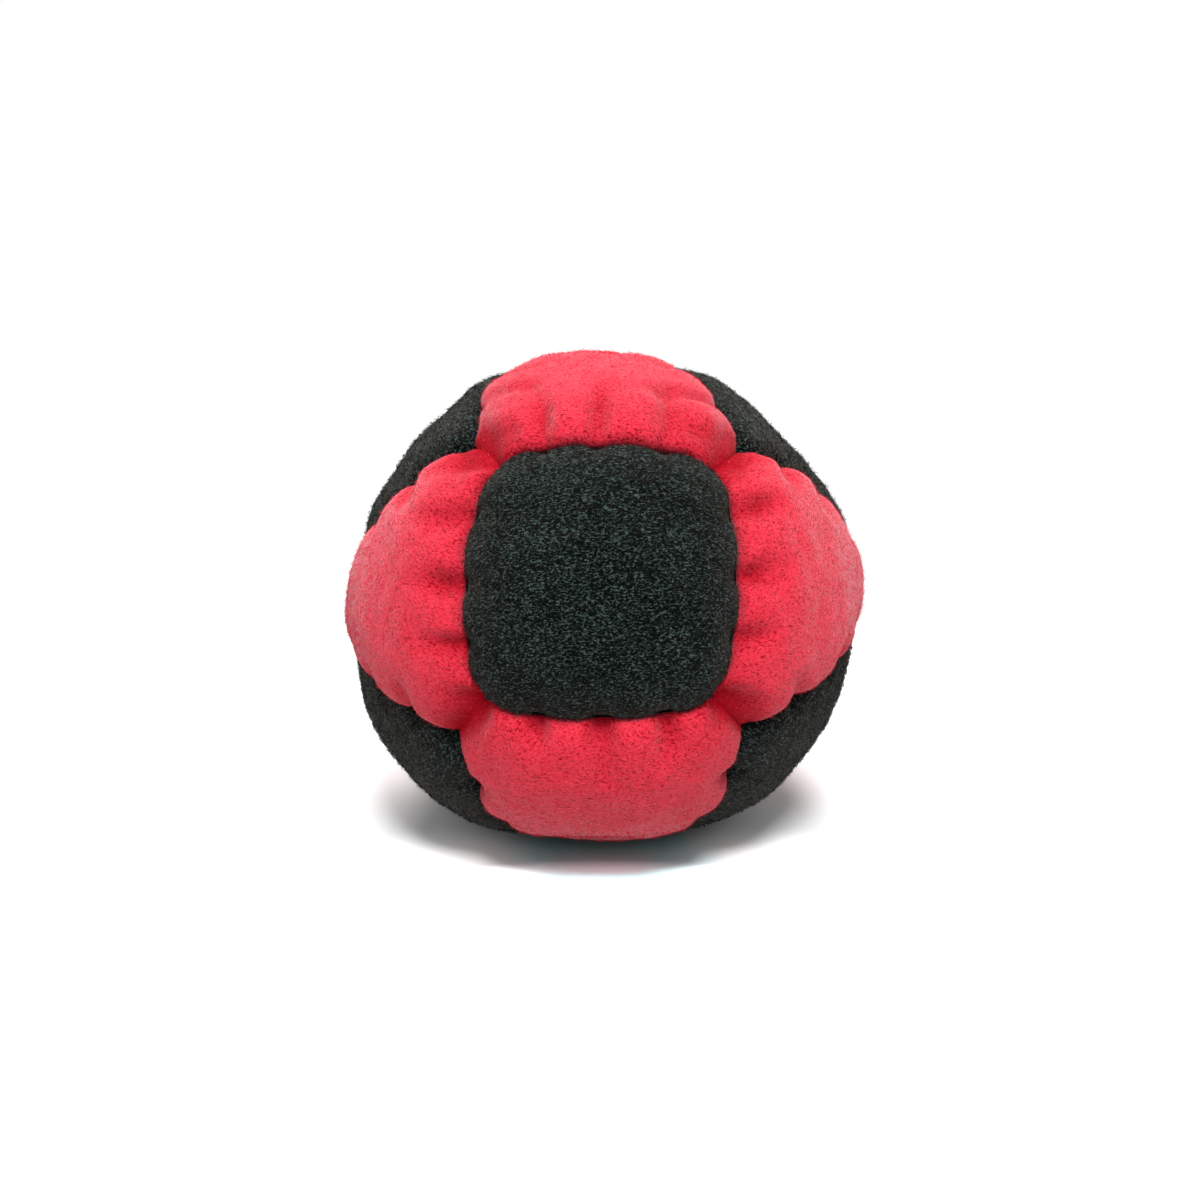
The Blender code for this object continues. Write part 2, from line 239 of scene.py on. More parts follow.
# %% The swell and the gathers
SWELL_POWER = 0.5
GATHER = {"dark": 0.16, "red": 0.97}
GATHER_LIMIT = 0.97
GATHER_REACH = {"dark": 2.6 * MM, "red": 2.1 * MM}
GATHER_SHARPNESS = {"dark": 1.4, "red": 1.9}
DEPTH_WAVES = (0.22, 7 * MM, 5)  # strength, wavelength and seed
REACH_WAVES = (0.2, 6 * MM, 6)
SLACKNESS = 0.45
SLACK_LIFT = 6 * MM
LIFT_FADING = 3 * MM
OUTLINE_GATHER = 0.42
OUTLINE_WIDTH = 0.7
SIDE_SMOOTHNESS = 0.5
PLUMPNESS = {
    (-25, 0): -0.8, (15, 0): 1.4, (33, 0): -0.8, (65, 0): 1.1, (112, 0): 1.0, (136, 0): -1.0,
    (160, 0): 0.5, (190, 0): 0.8, (208, 0): -0.6, (270, 24): -1.5,
}
PLUMP_SPREAD = math.radians(11)
SCALLOP = 0.13 * MM
SCALLOP_REACH = 1.5 * MM
HALF_GAP = 0.03 * MM
STITCH_GAP = 0.2 * MM
GAP_REACH = 0.5 * MM
CORNER_CLOSED = 1.8 * MM
PINCH = 0.4 * MM
PINCH_SHARPNESS = 4
PINCH_REACH = {"dark": 0.9 * MM, "red": 1.6 * MM}
# painted shade in the corner valleys, not a depth of the cloth
VALLEY_SHADE = 0.9
VALLEY_SHADE_REACH = 1.6 * MM


def plump_places():
    """The directions of the plump places in the bag's own frame, and how far each stands out."""
    angle, turned = np.radians(list(PLUMPNESS)).T[:, :, None]
    rise = np.array((0.0, math.sin(CAMERA_ELEVATION), math.cos(CAMERA_ELEVATION)))
    outline = np.cos(angle) * np.array((1.0, 0.0, 0.0)) + np.sin(angle) * rise
    places = np.cos(turned) * outline + np.sin(turned) * VIEW
    return places @ TURN, np.array(list(PLUMPNESS.values())) * MM


PLUMP_PLACES, PLUMP_HEIGHTS = plump_places()


def varied(points, strength, wavelength, seed):
    """A factor that varies slowly round 1 from place to place."""
    return np.exp(strength * slow_waves(points, wavelength, seed))


def swell(panel, directions, inset=0.0):
    """The radius of the cloth's outer face, or of a face inset within it, and a mask of the gathers and
    corner valleys, which the suede paints with shade.
    """
    distance = panel.distances(directions) - inset
    inside = np.maximum(distance, 0)
    rounding = np.where(panel.is_long, EDGE_ROUND[panel.kind], CORNER_ROUND)
    rise = 1 - np.exp(-inside / rounding)
    places, turned = directions * SEAM_RADIUS, directions @ TURN.T
    slack = np.exp(SLACKNESS * turned[:, 2])
    lift = SLACK_LIFT * np.maximum(slack - 1, 0)
    facing = np.clip(np.abs(turned @ VIEW) / OUTLINE_WIDTH, 0, 1)
    deep = OUTLINE_GATHER + (1 - OUTLINE_GATHER) * facing**2
    deep = deep * (1 - SIDE_SMOOTHNESS * turned[:, 0] ** 2)
    share = np.minimum(GATHER[panel.kind] * varied(places, *DEPTH_WAVES) * deep, GATHER_LIMIT)
    share = (share / (1 + lift / LIFT_FADING))[:, None]
    reach = GATHER_REACH[panel.kind] * (slack * varied(places, *REACH_WAVES))[:, None]
    near = bell(inside - lift[:, None], reach)
    fold = panel.fold(directions, GATHER_SHARPNESS[panel.kind])
    gathers = np.prod(1 - share * fold * near, axis=1)
    middle_rise = 1 - np.exp(-panel.distances(panel.middle[None]) / rounding)
    full = np.prod(middle_rise) ** SWELL_POWER
    crown = CROWN[panel.kind] + bell(angle_to(directions, PLUMP_PLACES), PLUMP_SPREAD) @ PLUMP_HEIGHTS
    pinch = np.exp(-np.abs(distance) / PINCH_REACH[panel.kind])
    pinch = panel.fold(directions, PINCH_SHARPNESS) * pinch
    height = crown * np.prod(rise, axis=1) ** SWELL_POWER / full * gathers
    height = height - PINCH * slack * pinch.max(axis=1)
    # The corner valleys add to the mask, not to the height: the suede paints shade there.
    valley_shade = np.where(panel.is_long, 0, VALLEY_SHADE * np.exp(-inside / VALLEY_SHADE_REACH))
    return SEAM_RADIUS + height - inset, 1 - gathers * np.prod(1 - valley_shade, axis=1)


def scalloped(panel, directions):
    """The directions moved towards the red side between stitches, and off the seam's plane."""
    distance = np.maximum(panel.distances(directions), 0)
    push = SCALLOP * (1 - panel.fold(directions, 1)) * panel.is_long
    push = push * np.exp(-distance / SCALLOP_REACH)
    towards = -push if panel.kind == "dark" else push
    closed = bell(np.partition(distance, 1, axis=1)[:, 1:2], CORNER_CLOSED)
    gap = HALF_GAP + STITCH_GAP * panel.fold(directions, PINCH_SHARPNESS) * (1 - closed)
    towards = towards + gap * np.exp(-distance / GAP_REACH)
    return unit(directions + (towards / SEAM_RADIUS) @ panel.inward)

# %% [markdown]
# Each panel starts as an even net of triangles. Its rim is cut into equal steps, so neighbouring
# panels share their rim points, and rows of inner points lie staggered, as on a honeycomb. Joining
# them in the plane gives triangles of almost one size. A flat view from the bag's middle turns the
# arcs into straight lines, which is why the joining is done there. A finer net comes from cutting
# every triangle in four.

# %% An even net for each panel
NET_STEP = 1.8 * MM
LONG_STEPS = 12
SHORT_STEPS = 2
RIM_CLEARANCE = 0.55 * NET_STEP
WIDEST = 1.0  # radians from a panel's middle, more than any panel has
ROW_HEIGHT = math.sqrt(0.75)  # of rows of equal-sided triangles
KEEP_INSIDE = 1  # what the triangulation gives back: triangles inside the outline


def rim_directions(panel):
    """The directions round the rim in equal steps."""
    points = []
    for edge in range(len(panel.corners)):
        steps = LONG_STEPS if panel.is_long[edge] else SHORT_STEPS
        angle = (panel.length[edge] * np.arange(steps) / steps)[:, None]
        points.append(panel.corners[edge] * np.cos(angle) + panel.along[edge] * np.sin(angle))
    return np.concatenate(points)


def inner_directions(panel):
    """Staggered rows of directions that keep clear of the rim."""
    step = NET_STEP / SEAM_RADIUS
    count = int(1 / step)
    column, row = np.meshgrid(np.arange(-count, count + 1), np.arange(-count, count + 1))
    x = ((column + row % 2 / 2) * step).ravel()
    y = (row * step * ROW_HEIGHT).ravel()
    angle = np.hypot(x, y)
    keep = angle < WIDEST
    x, y, angle = x[keep], y[keep], angle[keep]
    reach = np.sinc(angle / np.pi)
    points = panel.middle * np.cos(angle)[:, None]
    points = points + panel.side * (x * reach)[:, None] + panel.up * (y * reach)[:, None]
    return points[panel.distances(points).min(axis=1) > RIM_CLEARANCE]


def coarse_net(panel):
    """The panel's first net: directions, triangles and the rim's indices in order."""
    rim = rim_directions(panel)
    points = np.concatenate([rim, inner_directions(panel)])
    depth = points @ panel.middle
    flat = [Vector((x, y)) for x, y in zip(points @ panel.side / depth, points @ panel.up / depth)]
    outline = list(range(len(rim)))
    made = delaunay_2d_cdt(flat, [], [outline], KEEP_INSIDE, 1e-7)
    back = [original[0] for original in made[3]]
    triangles = np.array([[back[i] for i in face] for face in made[2]])
    return points, triangles, np.array(outline)


def quartered(triangles, rim, fields):
    """Cuts every triangle in four; a field is an array with a row for each point."""
    count = len(fields[0])
    sides = np.sort(triangles[:, [0, 1, 1, 2, 2, 0]].reshape(-1, 2), axis=1)
    keys, index = np.unique(sides[:, 0] * count + sides[:, 1], return_inverse=True)
    low, high = keys // count, keys % count
    ab, bc, ca = (count + index.reshape(-1, 3)).T
    a, b, c = triangles.T
    finer = [(a, ab, ca), (ab, b, bc), (ca, bc, c), (ab, bc, ca)]
    finer = np.concatenate([np.stack(three, axis=1) for three in finer])
    after = np.roll(rim, -1)
    key = np.minimum(rim, after) * count + np.maximum(rim, after)
    between = count + np.searchsorted(keys, key)
    grown = [np.concatenate([field, (field[low] + field[high]) / 2]) for field in fields]
    return finer, np.stack([rim, between], axis=1).ravel(), grown


nets = {panel.name: coarse_net(panel) for panel in panels}
print("triangles of the first nets:", sum(len(net[1]) for net in nets.values()))

# %% [markdown]
# Points are wanted where the cloth curves most, which is beside the seams. So each point is drawn
# towards its nearest edge, more the closer it lies, and the net gets fine at the seam and stays even
# in the middle of the panel.

# %% Crowd the net towards the seams
CROWDING = 0.55
CROWD_REACH = 1.0 * MM


def crowded(panel, directions):
    """The directions drawn towards the seams."""
    distance = np.maximum(panel.distances(directions), 0)
    draw = distance * CROWDING * np.exp(-distance / CROWD_REACH)
    return unit(directions - (draw / SEAM_RADIUS) @ panel.inward)


def round_points(panel, directions):
    """Where the cloth of a perfectly round bag lies, before the sand slumps."""
    spread = crowded(panel, directions)
    return scalloped(panel, spread) * swell(panel, spread)[0][:, None]


# %% [markdown]
# The real cover is a skin under pressure from the sand, and a formula alone looks too regular. So the
# fourteen nets are joined into one skin and simulated as cloth. The seams are pinned, the skin starts
# with a lower crown than it should end with, grows a few parts in a hundred and is filled by pressure
# from inside. Where the cloth has too much length along a seam it buckles into small folds. The skin
# is simulated forty times as large as it is, because the solver's settings are made for objects of
# about a metre. How far a point may move is capped, so the bag keeps its size, and in a gather the
# stitch holds it back.

# %% Simulate the skin
SIM_SCALE = 40
SIM_FRAMES = 20
SIM_CAP = {"out": 0.3 * MM, "in": 0.25 * MM}
SLACK_CROWN = 0.8
GROWTH = 0.025
GATHER_HELD = 0.8
WELD = 0.12 * MM
Part = namedtuple("Part", "directions triangles rim points crushed")
CLOTH = {
    "quality": 5, "mass": 0.02, "tension_stiffness": 12, "compression_stiffness": 12,
    "shear_stiffness": 4, "bending_stiffness": 0.4, "air_damping": 1,
    "vertex_group_mass": "seams", "pin_stiffness": 1, "shrink_min": -GROWTH,
    "use_pressure": True, "uniform_pressure_force": 2,
}


def mesh_from(name, points, faces):
    """A mesh of points and faces."""
    mesh = bpy.data.meshes.new(name)
    points = [tuple(point) for point in points]
    mesh.from_pydata(points, [], [tuple(int(i) for i in face) for face in faces])
    return mesh


def skin_parts():
    """The nets after one more cut, with the points of the round bag."""
    parts = {}
    for panel in panels:
        directions, triangles, rim = nets[panel.name]
        triangles, rim, (directions,) = quartered(triangles, rim, [directions])
        directions = unit(directions)
        points, crushed = round_points(panel, directions), swell(panel, crowded(panel, directions))[1]
        parts[panel.name] = Part(directions, triangles, rim, points, crushed)
    return parts


def simulated(points, triangles, pinned):
    """The points of the skin after the cloth simulation."""
    mesh = mesh_from("skin", points * SIM_SCALE, triangles)
    skin = add_object("skin", mesh)
    group = skin.vertex_groups.new(name="seams")
    group.add([int(i) for i in np.flatnonzero(pinned)], 1.0, "REPLACE")
    modifier = skin.modifiers.new("cloth", "CLOTH")
    for name, value in CLOTH.items():
        setattr(modifier.settings, name, value)
    modifier.settings.effector_weights.gravity = 0
    modifier.collision_settings.use_collision = False
    modifier.point_cache.frame_start = 1
    modifier.point_cache.frame_end = SIM_FRAMES
    scene = bpy.context.scene
    for number in range(1, SIM_FRAMES + 1):
        scene.frame_set(number)
    graph = bpy.context.evaluated_depsgraph_get()
    moved = np.empty(len(points) * 3)
    skin.evaluated_get(graph).data.vertices.foreach_get("co", moved)
    scene.frame_set(1)
    bpy.data.objects.remove(skin)
    bpy.data.meshes.remove(mesh)
    return moved.reshape(-1, 3) / SIM_SCALE


def joined(parts):
    """One skin of all the parts: its points, triangles, pins and each part's point numbers."""
    points = np.concatenate([part.points for part in parts.values()])
    on_rim = np.zeros(len(points), bool)
    starts = np.cumsum([0] + [len(part.points) for part in parts.values()])[:-1]
    for part, start in zip(parts.values(), starts):
        on_rim[start + part.rim] = True
    number = np.arange(len(points))
    rim_numbers = np.flatnonzero(on_rim)
    for i in rim_numbers:
        gap = np.linalg.norm(points[rim_numbers] - points[i], axis=1)
        number[i] = rim_numbers[np.flatnonzero(gap < WELD)[0]]
    kept, compact = np.unique(number, return_inverse=True)
    triangles = [compact[start + part.triangles] for part, start in zip(parts.values(), starts)]
    return points[kept], np.concatenate(triangles), on_rim[kept], compact, starts


def sand_push(parts):
    """How the simulation moves each point of each part, within the cap."""
    points, triangles, pinned, compact, starts = joined(parts)
    height = np.linalg.norm(points, axis=1, keepdims=True) - SEAM_RADIUS
    slack = points - unit(points) * height * (1 - SLACK_CROWN)
    shift = simulated(slack, triangles, pinned) - points
    outward = np.sum(shift * unit(points), axis=1)
    print("skin:", len(points), "points; moved outwards by",
          np.round(np.percentile(outward[~pinned], [1, 25, 50, 75, 99]) / MM, 2), "mm")
    size = np.linalg.norm(shift, axis=1, keepdims=True) + 1e-12
    cap = np.where(outward[:, None] > 0, SIM_CAP["out"], SIM_CAP["in"])
    shift = shift / size * cap * np.tanh(size / cap)
    result = {}
    for (name, part), start in zip(parts.items(), starts):
        own = shift[compact[start : start + len(part.points)]]
        result[name] = own * (1 - GATHER_HELD * part.crushed)[:, None]
    return result


parts = skin_parts()
push = sand_push(parts)

# %% [markdown]
# Loose sand doesn't keep a bag round. The sand pulls the cover out of true, so every panel is shifted
# and swollen a little, and the head sinks while the belly swells. What would go below the ground is
# pressed flat on it. The pulls are the same small table of shares that the solid model was given, so
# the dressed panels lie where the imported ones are. The stitching also draws in the corners of the dark
# squares, which rounds them off.

# %% How the bag slumps
HEAD_SETTLE = 0.4 * MM
SIDE_SWELL = 0.8 * MM
FOOT_SETTLE = 2.6 * MM
HEAD_HEIGHT_SHARE = 0.7
BELLY_HEIGHT_SHARE = -0.6
BELLY_SPREAD_SHARE = 0.6
FOOT_HEIGHT_SHARE = -0.6
CORNER_DRAW = 0.7 * MM
CORNER_SPREAD = math.radians(6)
PULL_SPREAD = math.radians(16)
SWELL_SPREAD = math.radians(24)
PULL_SHARES = {
    ("front",): (0.05, 0.0, -0.02),
    ("front", "upper_left"): (0.07, 0.02, 0.01),
    ("front", "upper_right"): (0.01, -0.02, 0.015),
    ("front", "lower_right"): (-0.05, 0.0, 0.01),
    ("front", "lower_left"): (0.01, 0.01, 0.015),
    ("upper_left", "upper_right"): (-0.09, -0.01, 0.0),
    ("upper_right", "lower_right"): (0.04, 0.06, 0.01),
    ("lower_right", "lower_left"): (0.0, 0.03, -0.03),
    ("upper_left", "front", "upper_right"): (-0.12, 0.02, 0.01),
    ("upper_right", "front", "upper_left"): (0.07, 0.0, -0.01),
    ("upper_right", "front", "lower_right"): (0.01, 0.08, 0.0),
    ("lower_right", "front", "upper_right"): (0.02, 0.01, -0.01),
    ("lower_right", "front", "lower_left"): (0.05, 0.01, 0.01),
    ("lower_left", "front", "lower_right"): (-0.09, 0.0, 0.025),
    ("lower_left", "front", "upper_left"): (0.04, 0.02, 0.015),
    ("upper_left", "front", "lower_left"): (0.05, -0.02, 0.0),
    ("upper_left",): (0.0, -0.05, 0.0),
    ("upper_right",): (0.0, -0.03, -0.035),
    ("lower_right",): (0.03, 0.02, -0.035),
    ("lower_left",): (0.0, 0.0, 0.01),
    ("back",): (-0.03, 0.02, 0.01),
    ("back", "upper_right"): (0.02, -0.03, -0.015),
    ("back", "lower_left"): (-0.03, 0.01, 0.01),
}


def pull_site(names):
    """The direction of the place that one, two or three names stand for."""
    near = AXES[names[0]]
    if len(names) < 3:
        return unit(sum(AXES[name] for name in names))
    return unit(corner_between(near, AXES[names[1]]) + corner_between(near, AXES[names[2]]))


def corners_drawn():
    """The corners of the squares and how the stitching draws each of them inwards."""
    squares = [panel for panel in panels if panel.kind == "dark"]
    corners = np.concatenate([panel.corners for panel in squares])
    middles = np.repeat([panel.middle for panel in squares], 4, axis=0)
    inwards = unit(middles - corners * np.sum(middles * corners, axis=1, keepdims=True))
    return corners, inwards * CORNER_DRAW / SEAM_RADIUS


SITES = np.array([pull_site(names) for names in PULL_SHARES])
PULLS = np.array(list(PULL_SHARES.values()))
CORNERS, CORNER_SHIFTS = corners_drawn()


def settled(points, floor=None):
    """Where points of the round bag lie once the bag has slumped onto the ground."""
    length = np.linalg.norm(points, axis=1, keepdims=True)
    direction = points / length
    direction = unit(direction + bell(angle_to(direction, CORNERS), CORNER_SPREAD) @ CORNER_SHIFTS)
    angle = angle_to(direction, SITES)
    sideways = bell(angle, PULL_SPREAD) @ PULLS[:, :2]
    shift = np.stack([sideways[:, 0], np.zeros(len(points)), sideways[:, 1]], axis=1)
    shift -= direction * np.sum(direction * shift, axis=1, keepdims=True)
    out = bell(angle, SWELL_SPREAD) @ PULLS[:, 2:]
    placed = unit(direction + shift) * (length + out * SEAM_RADIUS) @ TURN.T
    height = placed[:, 2] / CREST_RADIUS
    share = np.clip(height / HEAD_HEIGHT_SHARE, 0, 1)
    sink = HEAD_SETTLE / CREST_RADIUS * share**2 * (3 - 2 * share)
    belly = bell(height - BELLY_HEIGHT_SHARE, BELLY_SPREAD_SHARE)
    foot = np.maximum(0, FOOT_HEIGHT_SHARE - height) / (1 + FOOT_HEIGHT_SHARE)
    placed *= (1 - sink)[:, None]
    placed[:, :2] *= (1 + SIDE_SWELL / CREST_RADIUS * belly)[:, None]
    placed[:, 2] += FOOT_SETTLE * foot**2 + MIDDLE_HEIGHT
    if floor is not None:
        placed[:, 2] = np.maximum(placed[:, 2], floor)
    return placed


# %% [markdown]
# Now each panel is made as one closed piece of cloth. Its outer face is the fine net, with the
# simulated push carried over to the new points and smoothed. The edge turns in under the seam, as the
# allowance of a real seam does, and the cloth has its thickness. The inner face is never seen, so it
# keeps the coarser net, and a strip of fans joins its rim to the finer rim outside.

# %% Cloth panels
FINE_CUTS = 2
SMOOTHING_ROUNDS = 3
GRAIN_STRETCH = 1.9
GRAIN_TURN = 0.4
LOOSE_REACH = 2 * MM
LUMPS = (0.1 * MM, 9 * MM, 11)  # height, wavelength and seed
RIPPLES = (0.03 * MM, 2.6 * MM, 12)
ALLOWANCE_DROP = 2.2 * MM
ALLOWANCE_SHIFT = 1.38 * MM
ALLOWANCE_BEND = 0.22
INNER_TIP_DROP = 1.8 * MM
INNER_TIP_SHIFT = 2.06 * MM
INNER_RIM_SHIFT = 1.1 * MM


def smoothed(triangles, rim, field):
    """The field after each inner point has been averaged with its neighbours a few times."""
    sides = np.concatenate([triangles[:, [0, 1]], triangles[:, [1, 2]], triangles[:, [2, 0]]])
    near, far = np.concatenate([sides, sides[:, ::-1]]).T
    size = len(field)
    count = np.bincount(near, minlength=size)[:, None]
    for _ in range(SMOOTHING_ROUNDS):
        total = [np.bincount(near, weights=field[far, k], minlength=size) for k in range(3)]
        average = np.stack(total, axis=1) / count
        average[rim] = field[rim]
        field = (field + average) / 2
    return field


def towards_middle(panel, directions, distance):
    """Directions moved from the rim towards the panel's middle by a distance at the nearest edge."""
    share = distance / panel.distances(panel.middle[None]).min()
    return unit(directions * (1 - share) + panel.middle * share)


def strip(upper, lower):
    """The four-sided faces between two rings of as many points."""
    return list(zip(upper, lower, np.roll(lower, -1), np.roll(upper, -1)))


def fans(fine, coarse):
    """The faces between a fine ring and a coarse one, which has a point beside each run of fine ones."""
    step = len(fine) // len(coarse)
    half = step // 2
    faces = []
    for i, (near, far) in enumerate(zip(coarse, np.roll(coarse, -1))):
        run = [fine[(i * step + k) % len(fine)] for k in range(step + 1)]
        faces += [(run[k], near, run[k + 1]) for k in range(half)]
        faces.append((run[half], near, far))
        faces += [(run[k], far, run[k + 1]) for k in range(half, step)]
    return faces


def turned_in(panel, edge, aside, drop):
    """A ring of the seam allowance: the edge moved towards the panel's middle and inwards."""
    return settled(towards_middle(panel, edge, aside) * (SEAM_RADIUS - drop))


def panel_cloth(panel):
    """The points and faces of the closed cloth, its outer face, and its mask of gathers and corner valleys,
    where the nap is thin and the cloth is painted darker.
    """
    coarse, inner_triangles, inner_rim, *_ = parts[panel.name]
    inner = towards_middle(panel, coarse, INNER_RIM_SHIFT)
    inner = unit(inner) * swell(panel, inner, CLOTH_THICKNESS)[0][:, None]
    inner = settled(inner + push[panel.name], CLOTH_THICKNESS)
    fine, shift, triangles, rim = coarse, push[panel.name], inner_triangles, inner_rim
    for _ in range(FINE_CUTS):
        triangles, rim, (fine, shift) = quartered(triangles, rim, [fine, shift])
    fine = unit(fine)
    place = round_points(panel, fine) + smoothed(triangles, rim, shift)
    away = np.maximum(panel.distances(fine).min(axis=1), 0)
    loose = 1 - np.exp(-away / LOOSE_REACH)
    uneven = sum(height * slow_waves(place, *waves) for height, *waves in (LUMPS, RIPPLES))
    outer = settled(place * (1 + (loose * uneven) / SEAM_RADIUS)[:, None], 0.0)
    tip = np.array((ALLOWANCE_SHIFT, ALLOWANCE_DROP))
    bend = turned_in(panel, fine[rim], *(tip * ALLOWANCE_BEND))
    tip = turned_in(panel, fine[rim], *tip)
    inner_tip = turned_in(panel, coarse[inner_rim], INNER_TIP_SHIFT, INNER_TIP_DROP)
    blocks = [outer, bend, tip, inner_tip, inner]
    starts = np.cumsum([0] + [len(block) for block in blocks])
    bends, tips, inner_tips = (np.arange(starts[k], starts[k + 1]) for k in (1, 2, 3))
    faces = [*triangles, *strip(rim, bends), *strip(bends, tips), *fans(tips, inner_tips)]
    faces += strip(inner_tips, starts[4] + inner_rim)
    faces += list(starts[4] + inner_triangles[:, ::-1])
    crushed = np.zeros(starts[-1], np.float32)
    crushed[: len(outer)] = swell(panel, crowded(panel, fine))[1]
    return np.concatenate(blocks), faces, outer, triangles, crushed


def closed_object(name, points, faces):
    """A smooth object of the points and faces, with its faces turned outwards."""
    mesh = mesh_from(name, points, faces)
    work = bmesh.new()
    work.from_mesh(mesh)
    bmesh.ops.recalc_face_normals(work, faces=work.faces)
    open_edges = sum(not edge.is_manifold for edge in work.edges)
    work.to_mesh(mesh)
    work.free()
    mesh.shade_smooth()
    return add_object(name, mesh), open_edges


def nap_places(panel, points):
    """The points in a frame of the panel's own, stretched across the grain of the nap."""
    draw = np.random.default_rng(len(panel.name) + int(1000 * abs(panel.middle[0])))
    out = panel.middle @ TURN.T
    level = unit(np.cross((0, 0, 1), out))
    turn = draw.uniform(-GRAIN_TURN, GRAIN_TURN)
    grain = level * math.cos(turn) + np.cross(out, level) * math.sin(turn)
    axes = np.array([grain, GRAIN_STRETCH * np.cross(out, grain), out])
    return points @ axes.T


def store_values(mesh, name, kind, values):
    """Stores a value or a vector for each point of the mesh."""
    field = "vector" if kind == "FLOAT_VECTOR" else "value"
    mesh.attributes.new(name, kind, "POINT").data.foreach_set(field, values.ravel())


cloth, faces_outside = {}, {}
for panel in panels:
    points, faces, outer, triangles, crushed = panel_cloth(panel)
    obj, open_edges = closed_object(f"{panel.name}_cloth", points, faces)
    store_values(obj.data, "nap_place", "FLOAT_VECTOR", nap_places(panel, points).astype(np.float32))
    store_values(obj.data, "crushed", "FLOAT", crushed)
    cloth[panel.name] = obj
    faces_outside[panel.name] = (outer, triangles, crushed[: len(outer)])
    if open_edges:
        print(obj.name, "has", open_edges, "open edges")
print("cloth faces:", sum(len(obj.data.polygons) for obj in cloth.values()))

# %% [markdown]
# The nap, the materials and the light are made of nodes. One short function makes each node: its
# settings are given by name, and an input is linked if it is given another node's socket and set
# if it is given a value.

# %% Nodes
WHITE = (1, 1, 1, 1)


def fill_inputs(tree, node, inputs):
    """Links the inputs that are given as sockets and sets the others."""
    for key, value in inputs.items():
        if isinstance(value, bpy.types.NodeSocket):
            tree.links.new(value, node.inputs[key])
        else:
            node.inputs[key].default_value = value


def add_node(tree, kind, inputs=None, **settings):
    """A new node with its settings and inputs."""
    node = tree.nodes.new(kind)
    for name, value in settings.items():
        setattr(node, name, value)
    fill_inputs(tree, node, inputs or {})
    return node


def calculated(tree, operation, *values):
    """The result of a calculation with two or three values."""
    return add_node(tree, "ShaderNodeMath", dict(enumerate(values)), operation=operation).outputs[0]

# %% [markdown]
# Brushed suede looks soft because its face is a nap: a fine fur of fibre ends, each up to half a
# millimetre long. Up close the fibres lie in all directions and catch the light one by one, which
# gives the speckle of the photograph, and at the outline they blur the edge. A texture can show the
# speckle but not the edge, so the fibres are made: Geometry Nodes scatters points over the outer face,
# fewer where the nap is crushed, sets a small bent three-sided fibre on each, turns it at random and
# lets it lean, and joins them all into one mesh. The tree's inputs are the sizes of the nap.

# %% The nap
FIBRE = {
    "dark": {"Density": 11.0, "Length": 0.39 * MM, "Width": 0.042 * MM, "Lean": 1.2},
    "red": {"Density": 9.0, "Length": 0.30 * MM, "Width": 0.036 * MM, "Lean": 1.2},
}
FIBRE_SEED = 3
FIBRE_SIDES = 3
PER_SQUARE_MM = 1e6
CRUSHED_LOSS = 0.85
ROOT_DEPTH, BEND_HEIGHT, TIP_HEIGHT, TIP_ASIDE = -0.12, 0.55, 0.75, 0.5  # shares of the length
TIP_WIDTH = 0.35
LEAN_RANGE = (0.2, 1.0)
SIZE_RANGE = (0.55, 1.25)


